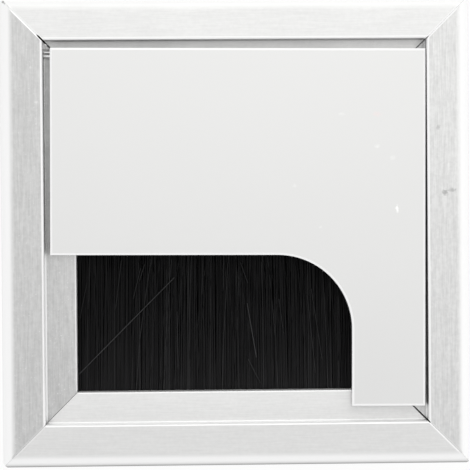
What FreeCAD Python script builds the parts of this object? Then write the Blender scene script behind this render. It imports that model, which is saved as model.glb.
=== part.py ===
import FreeCAD, Part
import os
import Sketcher

# Brush cable grommet: mitred square frame, loose L-shaped cover and a brush strip at the front.
# X is to the right, Y to the back, Z up. Z = 0 is the desk surface under the flange.

SIZES = [
    ("frame_side", 80.0, "outer side of the square frame"),
    ("flange_width", 7.4, "flange from the outer edge to the lip"),
    ("flange_height", 3.0, "flange top above the desk"),
    ("nose_radius", 2.4, "rounding of the flange's outer edge"),
    ("lip_radius", 0.4, "rounding of the lip"),
    ("hollow_radius", 0.25, "hollow rounding between the lip and the ledge"),
    ("recess_depth", 2.2, "ledge below the flange top"),
    ("ledge_width", 5.3, "ledge from the lip to the opening"),
    ("ledge_thickness", 1.4, "ledge thickness"),
    ("ledge_radius", 0.3, "rounding of the ledge's inner edge"),
    ("flange_overhang", 5.0, "flange past the edge of the desk cut-out"),
    ("cutout_clearance", 0.3, "collar to the edge of the desk cut-out"),
    ("collar_wall", 1.5, "thickness of the collar leg"),
    ("collar_radius", 0.4, "rounding of the collar's lower outer edge"),
    ("mitre_gap_outer", 0.02, "open mitre across the flange"),
    ("mitre_gap_front_left", 0.07, "open mitre across the ledge, front left"),
    ("mitre_gap_front_right", 0.26, "open mitre across the ledge, front right"),
    ("mitre_gap_back_right", 0.16, "open mitre across the ledge, back right"),
    ("mitre_gap_back_left", 0.3, "open mitre across the ledge, back left"),
    ("mitre_knee_front_left", 0.3, "how far outside the lip the front left mitre opens"),
    ("mitre_knee_front_right", 0.3, "how far outside the lip the front right mitre opens"),
    ("mitre_knee_back_right", 0.4, "how far outside the lip the back right mitre opens"),
    ("mitre_knee_back_left", 1.0, "how far outside the lip the back left mitre opens"),
    ("mitre_break", 0.25, "broken edge along the mitre, across the flange"),
    ("mitre_break_depth", 0.09, "broken edge along the mitre, down its face"),
    ("corner_ease", 0.8, "blunted outer corner"),
    ("cut_margin", 1.0, "how far cuts run past the material"),
    ("slot_height", 4.8, "brush slot height"),
    ("slot_mouth", 3.0, "brush slot mouth"),
    ("slot_lip", 1.2, "thickness of the lips at the mouth"),
    ("slot_floor", 1.2, "thickness of the slot's floor"),
    ("hook_thickness", 1.0, "thickness of the bracket hooks"),
    ("hook_reach", 1.5, "how far a hook overlaps a bracket"),
    ("foot_thickness", 1.2, "thickness of the collar's foot"),
    ("bracket_height", 7.0, "corner bracket height"),
    ("bracket_thickness", 1.5, "corner bracket thickness"),
    ("bracket_arm", 13.0, "corner bracket arm length"),
    ("bracket_bend", 1.5, "outer rounding of a corner bracket"),
    ("bracket_clearance", 0.2, "corner bracket to its slot"),
    ("bracket_ease", 0.5, "rounding of a bracket's end corners"),
    ("screw_diameter", 3.0, "tapped hole for a set screw"),
    ("screw_clearance", 0.05, "set screw to its hole"),
    ("screw_length", 3.0, "set screw length"),
    ("screw_offset", 8.0, "set screw from the bracket's corner"),
    ("socket_flats", 1.5, "hexagon socket across flats"),
    ("socket_depth", 1.4, "hexagon socket depth"),
    ("cover_gap_left", 1.05, "cover to the left lip"),
    ("cover_gap_right", 0.38, "cover to the right lip"),
    ("cover_gap_back", 1.5, "cover to the back lip"),
    ("cover_gap_front", 2.85, "cover leg to the front lip"),
    ("cover_thickness", 2.0, "cover thickness"),
    ("cover_arm", 35.1, "cover depth along the left edge"),
    ("cover_leg", 12.48, "cover leg width"),
    ("outlet_radius", 12.7, "rounding of the outlet's inner corner"),
    ("cover_edge", 0.35, "broken upper edge of the cover, across its top"),
    ("cover_edge_depth", 0.18, "broken upper edge of the cover, down its side"),
    ("cover_under_edge", 0.2, "broken lower edge of the cover"),
    ("cover_skew", -0.4, "turn of the loose cover in degrees"),
    ("channel_wall", 0.5, "brush channel sheet thickness"),
    ("channel_clearance", 0.2, "brush channel to its slot"),
    ("channel_mouth", 2.2, "gap that grips the bristles"),
    ("wire_diameter", 1.2, "core wire"),
    ("brush_overlap", 1.25, "how far the brush reaches under a side ledge"),
    ("bristle_length", 31.0, "longest bristles past the channel"),
    ("tuft_pitch", 1.0, "spacing of the tufts"),
    ("tuft_width", 1.16, "tuft width"),
    ("tuft_height", 1.9, "tuft height"),
    ("tuft_bevel", 0.3, "bevel between neighbouring tufts"),
    ("tip_step", 0.7, "step between uneven tuft tips"),
]

# Half sizes from the centre line to each level of the frame's section.
HALF = "(Sizes.frame_side / 2)"
LIP = f"({HALF} - Sizes.flange_width)"
OPENING = f"({LIP} - Sizes.ledge_width)"
MOUTH = f"({OPENING} + Sizes.slot_lip)"
COLLAR = f"({HALF} - Sizes.flange_overhang - Sizes.cutout_clearance)"
LEG = f"({COLLAR} - Sizes.collar_wall)"
HOOK = f"({LEG} - Sizes.bracket_thickness - Sizes.bracket_clearance)"
HOOK_FACE = f"({HOOK} - Sizes.hook_thickness)"

# Heights of each level of the frame's section.
TOP = "Sizes.flange_height"
LEDGE = f"({TOP} - Sizes.recess_depth)"
SLOT_TOP = f"({LEDGE} - Sizes.ledge_thickness)"
SLOT_LOW = f"({SLOT_TOP} - Sizes.slot_height)"
MOUTH_TOP = f"({SLOT_TOP} - (Sizes.slot_height - Sizes.slot_mouth) / 2)"
MOUTH_LOW = f"({SLOT_LOW} + (Sizes.slot_height - Sizes.slot_mouth) / 2)"
FIN = f"({SLOT_LOW} - Sizes.slot_floor)"
FOOT_TOP = f"({FIN} - Sizes.bracket_height - Sizes.bracket_clearance)"
FOOT = f"({FOOT_TOP} - Sizes.foot_thickness)"
WINDOW = "(Sizes.bracket_height - Sizes.screw_diameter - 2 * Sizes.bracket_clearance)"
REACH = f"min(Sizes.hook_reach; {WINDOW} / 2)"

# Brackets, set screws and brush.
BRACKET_OUT = f"({HOOK} + Sizes.bracket_thickness)"
BRACKET_LOW = f"({FOOT_TOP} + Sizes.bracket_clearance / 2)"
SCREW_LINE = f"({BRACKET_OUT} - Sizes.screw_offset)"
SCREW_LEVEL = f"({BRACKET_LOW} + Sizes.bracket_height / 2)"
CHANNEL_BACK = f"({LEG} - Sizes.channel_clearance / 2)"
CHANNEL_FRONT = f"({MOUTH} + Sizes.channel_clearance / 2)"
CHANNEL_TOP = f"({SLOT_TOP} - Sizes.channel_clearance)"
BRUSH_LEVEL = f"(({SLOT_LOW} + {CHANNEL_TOP}) / 2)"
BRUSH_LENGTH = f"(2 * ({OPENING} + Sizes.brush_overlap))"
CAVITY_BACK = f"({CHANNEL_BACK} - Sizes.channel_wall)"
CAVITY_FRONT = f"({CHANNEL_FRONT} + Sizes.channel_wall)"
CAVITY_TOP = f"({CHANNEL_TOP} - Sizes.channel_wall)"
CAVITY_LOW = f"({SLOT_LOW} + Sizes.channel_wall)"
WIRE_LINE = f"(({CAVITY_BACK} + {CAVITY_FRONT}) / 2)"
THROAT = "Sizes.channel_mouth / 2"
TUFT_COUNT = f"(floor(({BRUSH_LENGTH} - Sizes.tuft_width) / Sizes.tuft_pitch) + 1)"
TIP_STEPS = (1, 0, 2)

# Cover outline before it is turned.
COVER_LEFT = f"(-{LIP} + Sizes.cover_gap_left)"
COVER_RIGHT = f"({LIP} - Sizes.cover_gap_right)"
COVER_BACK = f"({LIP} - Sizes.cover_gap_back)"
COVER_FRONT = f"(-{LIP} + Sizes.cover_gap_front)"
ARM_EDGE = f"({COVER_BACK} - Sizes.cover_arm)"
LEG_EDGE = f"({COVER_RIGHT} - Sizes.cover_leg)"
OUTLET_ROUND = f"min(Sizes.outlet_radius; min({ARM_EDGE} - {COVER_FRONT}; {LEG_EDGE} - {COVER_LEFT}) * 0.9)"

CORNERS = ("front_left", "front_right", "back_right", "back_left")
QUARTER_TURNS = (0, 90, 180, 270)
Z_AXIS = FreeCAD.Vector(0, 0, 1)

doc = FreeCAD.newDocument("BrushGrommet")
sheet = doc.addObject("Spreadsheet::Sheet", "Sizes")
for row, (alias, value, note) in enumerate(SIZES, start=1):
    sheet.set(f"A{row}", note)
    sheet.set(f"B{row}", str(value))
    sheet.setAlias(f"B{row}", alias)
doc.recompute()


def value(expression):
    """Number that an expression gives for the sizes in the sheet."""
    return float(sheet.evalExpression(expression))


def new_body(name, turn=0):
    """Body labelled with its node name, turned about Z."""
    body = doc.addObject("PartDesign::Body", name)
    body.Label = name
    body.Placement = FreeCAD.Placement(FreeCAD.Vector(), FreeCAD.Rotation(Z_AXIS, turn))
    return body


def new_sketch(body, name, plane):
    """Sketch on one of the body's own origin planes."""
    sketch = body.newObject("Sketcher::SketchObject", name)
    support = [item for item in body.Origin.OriginFeatures if item.Role == plane][0]
    sketch.AttachmentSupport = [(support, "")]
    sketch.MapMode = "FlatFace"
    return sketch


def dimension(sketch, kind, geometry, end, expression):
    """Distance of a point from the sketch's origin, bound to an expression."""
    row = sketch.addConstraint(Sketcher.Constraint(kind, -1, 1, geometry, end, value(expression)))
    sketch.setExpression(f"Constraints[{row}]", expression)


def add_polygon(sketch, corners):
    """Closed outline whose corners are pairs of expressions."""
    points = [FreeCAD.Vector(value(x), value(y), 0) for x, y in corners]
    first = sketch.GeometryCount
    count = len(points)
    for i in range(count):
        sketch.addGeometry(Part.LineSegment(points[i], points[(i + 1) % count]), False)
    for i in range(count):
        line = first + i
        following = first + (i + 1) % count
        x, y = corners[i]
        next_x, next_y = corners[(i + 1) % count]
        sketch.addConstraint(Sketcher.Constraint("Coincident", line, 2, following, 1))
        if next_x == x:
            sketch.addConstraint(Sketcher.Constraint("Vertical", line))
        else:
            dimension(sketch, "DistanceX", following, 1, next_x)
        if next_y == y:
            sketch.addConstraint(Sketcher.Constraint("Horizontal", line))
        else:
            dimension(sketch, "DistanceY", following, 1, next_y)


def add_circle(sketch, x, y, radius):
    """Circle whose centre and radius are expressions."""
    centre = FreeCAD.Vector(value(x), value(y), 0)
    circle = sketch.addGeometry(Part.Circle(centre, FreeCAD.Vector(0, 0, 1), value(radius)), False)
    dimension(sketch, "DistanceX", circle, 3, x)
    dimension(sketch, "DistanceY", circle, 3, y)
    row = sketch.addConstraint(Sketcher.Constraint("Radius", circle, value(radius)))
    sketch.setExpression(f"Constraints[{row}]", radius)


def add_pad(body, name, sketch, length, side="Symmetric", reverse=False):
    """Pad of a sketch to a length given by an expression."""
    pad = body.newObject("PartDesign::Pad", name)
    pad.Profile = sketch
    pad.SideType = side
    pad.Reversed = reverse
    pad.setExpression("Length", length)
    doc.recompute()
    return pad


def add_pocket(body, name, sketch):
    """Cut of a sketch through everything on both sides."""
    before = body.Tip.Shape.Volume
    pocket = body.newObject("PartDesign::Pocket", name)
    pocket.Profile = sketch
    pocket.Type = "ThroughAll"
    pocket.SideType = "Symmetric"
    doc.recompute()
    if not pocket.Shape.Volume < before:
        raise ValueError(f"{name} cut nothing")
    return pocket


def ease(body, kind, name, test, sizes, **options):
    """Fillet or chamfer on the edges of the body's tip whose ends pass a test."""
    base = body.Tip
    edges = [
        f"Edge{number}" for number, edge in enumerate(base.Shape.Edges, start=1)
        if len(edge.Vertexes) == 2 and test(edge.Vertexes[0].Point, edge.Vertexes[1].Point)
    ]
    if not edges:
        raise ValueError(f"{name} found no edge")
    feature = body.newObject(f"PartDesign::{kind}", name)
    feature.Base = (base, edges)
    for option, setting in options.items():
        setattr(feature, option, setting)
    for quantity, expression in sizes.items():
        feature.setExpression(quantity, expression)
    doc.recompute()
    return feature


def near(number, expression):
    """Whether a number equals the value of an expression."""
    return abs(number - value(expression)) < 1e-4


def make_rail(name, turn, corners):
    """Mitred length of the frame extrusion, drawn at the front and turned into place."""
    body = new_body(name, turn)
    section = new_sketch(body, f"{name}_section", "YZ_Plane")
    add_polygon(section, [
        (f"-{HALF}", "0"),
        (f"-{HALF}", TOP),
        (f"-{LIP}", TOP),
        (f"-{LIP}", LEDGE),
        (f"-{OPENING}", LEDGE),
        (f"-{OPENING}", MOUTH_TOP),
        (f"-{MOUTH}", MOUTH_TOP),
        (f"-{MOUTH}", SLOT_TOP),
        (f"-{LEG}", SLOT_TOP),
        (f"-{LEG}", SLOT_LOW),
        (f"-{MOUTH}", SLOT_LOW),
        (f"-{MOUTH}", MOUTH_LOW),
        (f"-{OPENING}", MOUTH_LOW),
        (f"-{OPENING}", FIN),
        (f"-{HOOK_FACE}", FIN),
        (f"-{HOOK_FACE}", f"{FIN} - {REACH}"),
        (f"-{HOOK}", f"{FIN} - {REACH}"),
        (f"-{HOOK}", FIN),
        (f"-{LEG}", FIN),
        (f"-{LEG}", FOOT_TOP),
        (f"-{HOOK}", FOOT_TOP),
        (f"-{HOOK}", f"{FOOT_TOP} + {REACH}"),
        (f"-{HOOK_FACE}", f"{FOOT_TOP} + {REACH}"),
        (f"-{HOOK_FACE}", FOOT),
        (f"-{COLLAR}", FOOT),
        (f"-{COLLAR}", "0"),
    ])
    add_pad(body, f"{name}_bar", section, "Sizes.frame_side")
    rounds = (
        ("nose", f"-{HALF}", TOP, "Sizes.nose_radius"),
        ("lip", f"-{LIP}", TOP, "Sizes.lip_radius"),
        ("hollow", f"-{LIP}", LEDGE, "Sizes.hollow_radius"),
        ("edge", f"-{OPENING}", LEDGE, "Sizes.ledge_radius"),
        ("foot", f"-{COLLAR}", FOOT, "Sizes.collar_radius"),
    )
    for part, y, z, radius in rounds:
        def on_line(start, end, y=y, z=z):
            return all(near(point.y, y) and near(point.z, z) for point in (start, end))
        ease(body, "Fillet", f"{name}_{part}_round", on_line, {"Radius": radius})

    mitre = new_sketch(body, f"{name}_mitre", "XY_Plane")
    outer_gap = "Sizes.mitre_gap_outer / sqrt(2)"
    past = f"({HALF} + Sizes.cut_margin)"
    inside = f"({OPENING} - Sizes.cut_margin)"
    for sign, corner in zip(("-", ""), corners):
        inner_gap = f"Sizes.mitre_gap_{corner} / sqrt(2)"
        knee = f"({LIP} + Sizes.mitre_knee_{corner})"
        fully_open = f"({LIP} + Sizes.mitre_knee_{corner} * 0.7)"
        add_polygon(mitre, [
            (f"{sign}{past}", f"-{inside}"),
            (f"{sign}({inside} - {inner_gap})", f"-{inside}"),
            (f"{sign}({fully_open} - {inner_gap})", f"-{fully_open}"),
            (f"{sign}({knee} - {outer_gap})", f"-{knee}"),
            (f"{sign}({HALF} - (Sizes.corner_ease + {outer_gap}) / 2)",
             f"-{HALF} + (Sizes.corner_ease - {outer_gap}) / 2"),
            (f"{sign}({HALF} - Sizes.corner_ease - Sizes.cut_margin)", f"-{past}"),
            (f"{sign}{past}", f"-{past}"),
        ])
    add_pocket(body, f"{name}_mitre_cut", mitre)

    # Broken edges: a shallow slope cut along each mitre, twice as long as it shows.
    edge = "Sizes.mitre_gap_outer / 2"
    for side, sign, angle in (("left", "", -45), ("right", "-", 45)):
        slope = new_sketch(body, f"{name}_{side}_break", "XZ_Plane")
        spin = FreeCAD.Rotation(FreeCAD.Vector(0, 1, 0), angle)
        slope.AttachmentOffset = FreeCAD.Placement(FreeCAD.Vector(), spin)
        add_polygon(slope, [
            ("0", f"{TOP} - Sizes.mitre_break_depth"),
            (f"{sign}({edge})", f"{TOP} - Sizes.mitre_break_depth"),
            (f"{sign}({edge} + 2 * Sizes.mitre_break)", f"{TOP} + Sizes.mitre_break_depth"),
            ("0", f"{TOP} + Sizes.mitre_break_depth"),
        ])
        add_pocket(body, f"{name}_{side}_break_cut", slope)
    return body


def make_bracket(name, turn):
    """Bent angle in two bracket slots, drawn at the front left and turned into place."""
    body = new_body(name, turn)
    plan = new_sketch(body, f"{name}_plan", "XY_Plane")
    plan.setExpression("AttachmentOffset.Base.z", BRACKET_LOW)
    end = f"(-{BRACKET_OUT} + Sizes.bracket_arm)"
    add_polygon(plan, [
        (f"-{BRACKET_OUT}", f"-{BRACKET_OUT}"),
        (end, f"-{BRACKET_OUT}"),
        (end, f"-{HOOK}"),
        (f"-{HOOK}", f"-{HOOK}"),
        (f"-{HOOK}", end),
        (f"-{BRACKET_OUT}", end),
    ])
    add_pad(body, f"{name}_strip", plan, "Sizes.bracket_height", "One side")

    def at_bend(first, last):
        corner = f"-{BRACKET_OUT}"
        return all(near(point.x, corner) and near(point.y, corner) for point in (first, last))
    ease(body, "Fillet", f"{name}_bend_round", at_bend, {"Radius": "Sizes.bracket_bend"})

    def at_end(first, last):
        along_x = near(first.x, end) and near(last.x, end)
        along_y = near(first.y, end) and near(last.y, end)
        return abs(first.z - last.z) < 1e-4 and (along_x or along_y)
    ease(body, "Fillet", f"{name}_end_round", at_end, {"Radius": "Sizes.bracket_ease"})
    for plane in ("XZ_Plane", "YZ_Plane"):
        hole = new_sketch(body, f"{name}_hole_{plane[:2]}", plane)
        add_circle(hole, f"-{SCREW_LINE}", SCREW_LEVEL, "Sizes.screw_diameter / 2")
        add_pocket(body, f"{name}_tapped_{plane[:2]}", hole)
    return body


def make_screws(name):
    """Eight socket set screws, two to a bracket, as one group."""
    screws = []
    for turn in QUARTER_TURNS:
        for arm in (0, 1):
            tag = f"{name}_{turn}_{arm}"
            shank = doc.addObject("Part::Cylinder", f"{tag}_shank")
            shank.setExpression("Radius", "Sizes.screw_diameter / 2 - Sizes.screw_clearance")
            shank.setExpression("Height", "Sizes.screw_length")
            socket = doc.addObject("Part::Prism", f"{tag}_socket")
            socket.Polygon = 6
            socket.setExpression("Circumradius", "Sizes.socket_flats / sqrt(3)")
            socket.setExpression("Height", "Sizes.socket_depth + Sizes.cut_margin")
            socket.setExpression("Placement.Base.z", "Sizes.screw_length - Sizes.socket_depth")
            screw = doc.addObject("Part::Cut", tag)
            screw.Base = shank
            screw.Tool = socket
            side = value(SCREW_LINE)
            tip = value(LEG)
            if arm == 0:
                place = FreeCAD.Vector(-side, -tip, value(SCREW_LEVEL))
                aim = FreeCAD.Rotation(Z_AXIS, FreeCAD.Vector(0, 1, 0))
            else:
                place = FreeCAD.Vector(-tip, -side, value(SCREW_LEVEL))
                aim = FreeCAD.Rotation(Z_AXIS, FreeCAD.Vector(1, 0, 0))
            spin = FreeCAD.Placement(FreeCAD.Vector(), FreeCAD.Rotation(Z_AXIS, turn))
            screw.Placement = spin.multiply(FreeCAD.Placement(place, aim))
            screws.append(screw)
    group = doc.addObject("Part::Compound", name)
    group.Label = name
    group.Links = screws
    doc.recompute()
    return group


def make_cover(name):
    """Loose L-shaped plate that lies on the ledge, a little turned."""
    body = new_body(name)
    plan = new_sketch(body, f"{name}_plan", "XY_Plane")
    add_polygon(plan, [
        (COVER_LEFT, COVER_BACK),
        (COVER_LEFT, ARM_EDGE),
        (LEG_EDGE, ARM_EDGE),
        (LEG_EDGE, COVER_FRONT),
        (COVER_RIGHT, COVER_FRONT),
        (COVER_RIGHT, COVER_BACK),
    ])
    add_pad(body, f"{name}_plate", plan, "Sizes.cover_thickness", "One side")

    def at_outlet(start, end):
        return all(near(point.x, LEG_EDGE) and near(point.y, ARM_EDGE) for point in (start, end))
    ease(body, "Fillet", f"{name}_outlet_round", at_outlet, {"Radius": OUTLET_ROUND})

    def on_top(start, end):
        return near(start.z, "Sizes.cover_thickness") and near(end.z, "Sizes.cover_thickness")

    def on_rim(start, end):
        along_y = any(near(start.y, line) and near(end.y, line) for line in (COVER_BACK, COVER_FRONT))
        return on_top(start, end) and (along_y or near(start.x, COVER_RIGHT) and near(end.x, COVER_RIGHT))

    def on_outlet_side(start, end):
        return on_top(start, end) and not on_rim(start, end)
    broken_edge = {"Size": "Sizes.cover_edge", "Size2": "Sizes.cover_edge_depth"}
    for part, test, flip in (("outlet", on_outlet_side, True), ("rim", on_rim, False)):
        ease(body, "Chamfer", f"{name}_{part}_break", test, broken_edge,
             ChamferType="Two distances", FlipDirection=flip)

    def underneath(start, end):
        return abs(start.z) < 1e-4 and abs(end.z) < 1e-4
    ease(body, "Chamfer", f"{name}_under_break", underneath, {"Size": "Sizes.cover_under_edge"})
    body.setExpression("Placement.Base.z", LEDGE)
    body.setExpression("Placement.Rotation.Angle", "Sizes.cover_skew")
    doc.recompute()
    return body


def make_channel(name):
    """Folded sheet channel that grips the bristles in the front rail's slot."""
    body = new_body(name)
    section = new_sketch(body, f"{name}_section", "YZ_Plane")
    add_polygon(section, [
        (f"-{CHANNEL_BACK}", SLOT_LOW),
        (f"-{CHANNEL_BACK}", CHANNEL_TOP),
        (f"-{CHANNEL_FRONT}", CHANNEL_TOP),
        (f"-{CHANNEL_FRONT}", f"{BRUSH_LEVEL} + {THROAT}"),
        (f"-{CAVITY_FRONT}", f"{BRUSH_LEVEL} + {THROAT}"),
        (f"-{CAVITY_FRONT}", CAVITY_TOP),
        (f"-{CAVITY_BACK}", CAVITY_TOP),
        (f"-{CAVITY_BACK}", CAVITY_LOW),
        (f"-{CAVITY_FRONT}", CAVITY_LOW),
        (f"-{CAVITY_FRONT}", f"{BRUSH_LEVEL} - {THROAT}"),
        (f"-{CHANNEL_FRONT}", f"{BRUSH_LEVEL} - {THROAT}"),
        (f"-{CHANNEL_FRONT}", SLOT_LOW),
    ])
    add_pad(body, f"{name}_fold", section, BRUSH_LENGTH)
    return body


def make_wire(name):
    """Core wire that the bristles are folded over."""
    body = new_body(name)
    section = new_sketch(body, f"{name}_section", "YZ_Plane")
    add_circle(section, f"-{WIRE_LINE}", BRUSH_LEVEL, "Sizes.wire_diameter / 2")
    add_pad(body, f"{name}_rod", section, BRUSH_LENGTH)
    return body


def make_bristles(name):
    """Bristles: a folded root in the channel and a row of tufts with uneven tips."""
    body = new_body(name)
    root = new_sketch(body, f"{name}_root", "YZ_Plane")
    add_polygon(root, [
        (f"-{CAVITY_BACK}", CAVITY_LOW),
        (f"-{CAVITY_BACK}", CAVITY_TOP),
        (f"-{CAVITY_FRONT}", CAVITY_TOP),
        (f"-{CAVITY_FRONT}", f"{BRUSH_LEVEL} + {THROAT}"),
        (f"-{CHANNEL_FRONT}", f"{BRUSH_LEVEL} + {THROAT}"),
        (f"-{CHANNEL_FRONT}", f"{BRUSH_LEVEL} - {THROAT}"),
        (f"-{CAVITY_FRONT}", f"{BRUSH_LEVEL} - {THROAT}"),
        (f"-{CAVITY_FRONT}", CAVITY_LOW),
    ])
    add_circle(root, f"-{WIRE_LINE}", BRUSH_LEVEL, "Sizes.wire_diameter / 2")
    add_pad(body, f"{name}_fold", root, BRUSH_LENGTH)
    sets = len(TIP_STEPS)
    half_width = "Sizes.tuft_width / 2"
    crown = "Sizes.tuft_height / 2"
    low = f"{BRUSH_LEVEL} - {crown}"
    high = f"{BRUSH_LEVEL} + {crown}"
    low_bevel = f"{low} + Sizes.tuft_bevel"
    high_bevel = f"{high} - Sizes.tuft_bevel"
    for place, step in enumerate(TIP_STEPS):
        middle = f"(-({TUFT_COUNT} - 1) / 2 + {place}) * Sizes.tuft_pitch"
        left = f"{middle} - {half_width}"
        right = f"{middle} + {half_width}"
        left_bevel = f"{left} + Sizes.tuft_bevel"
        right_bevel = f"{right} - Sizes.tuft_bevel"
        tuft = new_sketch(body, f"{name}_tuft_{place}", "XZ_Plane")
        tuft.setExpression("AttachmentOffset.Base.z", CAVITY_FRONT)
        add_polygon(tuft, [
            (left, low_bevel),
            (left, high_bevel),
            (left_bevel, high),
            (right_bevel, high),
            (right, high_bevel),
            (right, low_bevel),
            (right_bevel, low),
            (left_bevel, low),
        ])
        reach = f"Sizes.channel_wall + Sizes.bristle_length - {step} * Sizes.tip_step"
        pad = add_pad(body, f"{name}_tufts_{place}", tuft, reach, "One side", True)
        rows = body.newObject("PartDesign::LinearPattern", f"{name}_row_{place}")
        rows.Originals = [pad]
        rows.Direction = (tuft, ["H_Axis"])
        rows.Mode = "Spacing"
        rows.setExpression("Offset", f"{sets} * Sizes.tuft_pitch")
        rows.setExpression("Occurrences", f"floor(({TUFT_COUNT} - 1 - {place}) / {sets}) + 1")
        body.Tip = rows
        doc.recompute()
    return body


pieces = []
for number, rail in enumerate(("front", "right", "back", "left")):
    ends = (CORNERS[number], CORNERS[(number + 1) % 4])
    pieces.append(make_rail(f"frame_rail_{rail}", QUARTER_TURNS[number], ends))
for corner, angle in zip(CORNERS, QUARTER_TURNS):
    pieces.append(make_bracket(f"corner_bracket_{corner}", angle))
pieces.append(make_screws("bracket_set_screws"))
pieces.append(make_cover("cover_plate"))
pieces.append(make_channel("brush_channel"))
pieces.append(make_wire("brush_core_wire"))
pieces.append(make_bristles("brush_bristles"))
doc.recompute()

for item in doc.Objects:
    if "Invalid" in item.State or "Error" in item.State:
        raise ValueError(f"{item.Name} did not build: {item.State}")
os.makedirs("parts", exist_ok=True)
for piece in pieces:
    if piece.Shape.isNull() or not piece.Shape.isValid():
        raise ValueError(f"{piece.Label} has no sound shape")
    piece.Shape.exportStep(f"parts/{piece.Label}.step")
    print(piece.Label, len(piece.Shape.Solids), round(piece.Shape.Volume, 1))
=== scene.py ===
"""Brush cable grommet: finishes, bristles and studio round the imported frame, laid out as an add-on."""
import functools
import math
import random

import bpy
from bpy.props import FloatProperty, FloatVectorProperty, IntProperty, PointerProperty
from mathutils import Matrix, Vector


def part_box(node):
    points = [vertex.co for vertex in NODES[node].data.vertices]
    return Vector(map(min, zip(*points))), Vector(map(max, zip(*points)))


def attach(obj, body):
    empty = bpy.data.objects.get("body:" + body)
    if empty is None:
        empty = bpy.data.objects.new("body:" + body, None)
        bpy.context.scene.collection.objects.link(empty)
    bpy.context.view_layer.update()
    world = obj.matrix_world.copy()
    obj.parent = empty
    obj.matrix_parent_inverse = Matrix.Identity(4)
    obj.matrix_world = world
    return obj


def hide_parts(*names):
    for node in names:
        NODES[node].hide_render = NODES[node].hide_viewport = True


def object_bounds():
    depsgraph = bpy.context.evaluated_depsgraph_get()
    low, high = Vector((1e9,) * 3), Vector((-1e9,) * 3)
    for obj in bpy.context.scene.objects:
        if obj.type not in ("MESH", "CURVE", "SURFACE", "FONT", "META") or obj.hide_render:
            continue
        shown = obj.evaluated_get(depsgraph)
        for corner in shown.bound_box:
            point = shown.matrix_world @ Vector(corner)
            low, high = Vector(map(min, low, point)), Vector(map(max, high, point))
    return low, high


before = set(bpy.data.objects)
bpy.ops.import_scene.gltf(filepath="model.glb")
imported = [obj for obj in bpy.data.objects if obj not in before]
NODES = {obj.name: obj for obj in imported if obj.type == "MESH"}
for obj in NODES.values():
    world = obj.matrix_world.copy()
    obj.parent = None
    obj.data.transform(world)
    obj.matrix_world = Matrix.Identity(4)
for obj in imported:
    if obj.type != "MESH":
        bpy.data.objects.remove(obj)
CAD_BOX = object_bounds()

bl_info = {
    "name": "Brush cable grommet",
    "version": (1, 0, 0),
    "blender": (4, 5, 0),
    "location": "View3D > Sidebar > Grommet",
    "description": "Dresses a square aluminium cable grommet with a brush outlet and sets its studio",
    "category": "Object",
}

MM = 0.001
BODY = "root"
# The four rails in the order of the rows of four below, and the axis along each
RAILS = {"front": "x", "right": "y", "back": "x", "left": "y"}
BRACKETS = tuple(sorted(name for name in NODES if name.startswith("corner_bracket")))
TONES = ("dark", "plain", "pale", "bare")


# Sizes and colours that a user would change


def length(name, description, millimetres):
    """A length property, given in millimetres and kept in metres."""
    return FloatProperty(
        name=name, description=description, default=millimetres * MM,
        min=0.0, unit="LENGTH", precision=5,
    )


def lengths(name, description, millimetres):
    """A row of lengths, given in millimetres and kept in metres."""
    return FloatVectorProperty(
        name=name, description=description, default=tuple(part * MM for part in millimetres),
        size=len(millimetres), unit="LENGTH", precision=5,
    )


def share(name, description, default):
    """A property between 0 and 1."""
    return FloatProperty(
        name=name, description=description, default=default, min=0.0, max=1.0, subtype="FACTOR"
    )


def factors(name, description, default, most):
    """A row of factors between 0 and a highest value."""
    return FloatVectorProperty(
        name=name, description=description, default=default, size=len(default), min=0.0, max=most
    )


def colour(name, description, default):
    """A linear colour property."""
    return FloatVectorProperty(
        name=name, description=description, default=default, size=3, min=0.0, max=1.0, subtype="COLOR"
    )


def grey(level):
    """A neutral colour."""
    return (level, level, level)


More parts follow.
